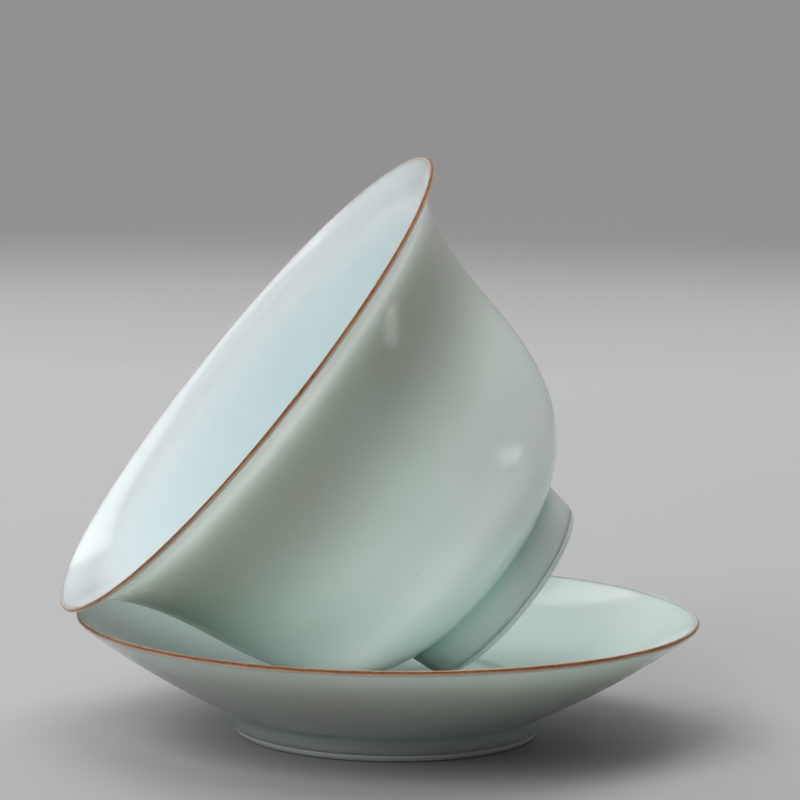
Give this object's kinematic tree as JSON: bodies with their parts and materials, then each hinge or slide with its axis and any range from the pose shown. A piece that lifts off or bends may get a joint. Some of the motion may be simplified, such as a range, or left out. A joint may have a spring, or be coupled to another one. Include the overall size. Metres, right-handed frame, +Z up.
{
  "type": "gaiwan",
  "caption": "Flared porcelain tea bowl lying on its side in a footed saucer, celadon glaze with a thin iron-brown line round each lip.",
  "frame": {"origin": "centre of the saucer's foot ring, on the surface that it stands on", "axes": "+Z up along the saucer's axis, +Y away from the viewer, +X to the viewer's right; the bowl leans towards -X"},
  "size_m": [0.1131, 0.11, 0.1017],
  "materials": {
    "celadon_glaze": "pale celadon glaze, glossy, pooling greener in the hollows",
    "iron_lip_glaze": "thin iron-brown glaze line, glossy",
    "biscuit": "bare fired porcelain, matt and slightly gritty"
  },
  "bodies": {
    "saucer": {"saucer_body": "celadon_glaze", "saucer_lip_line": "iron_lip_glaze", "saucer_foot_edge": "biscuit"},
    "bowl": {"bowl_body": "celadon_glaze", "bowl_lip_line": "iron_lip_glaze", "bowl_foot_edge": "biscuit"}
  },
  "joints": [
    {"name": "bowl_lift", "type": "slide", "parent": "saucer", "child": "bowl", "axis": [0, 0, 1], "range_m": [0, 0.08]}
  ]
}
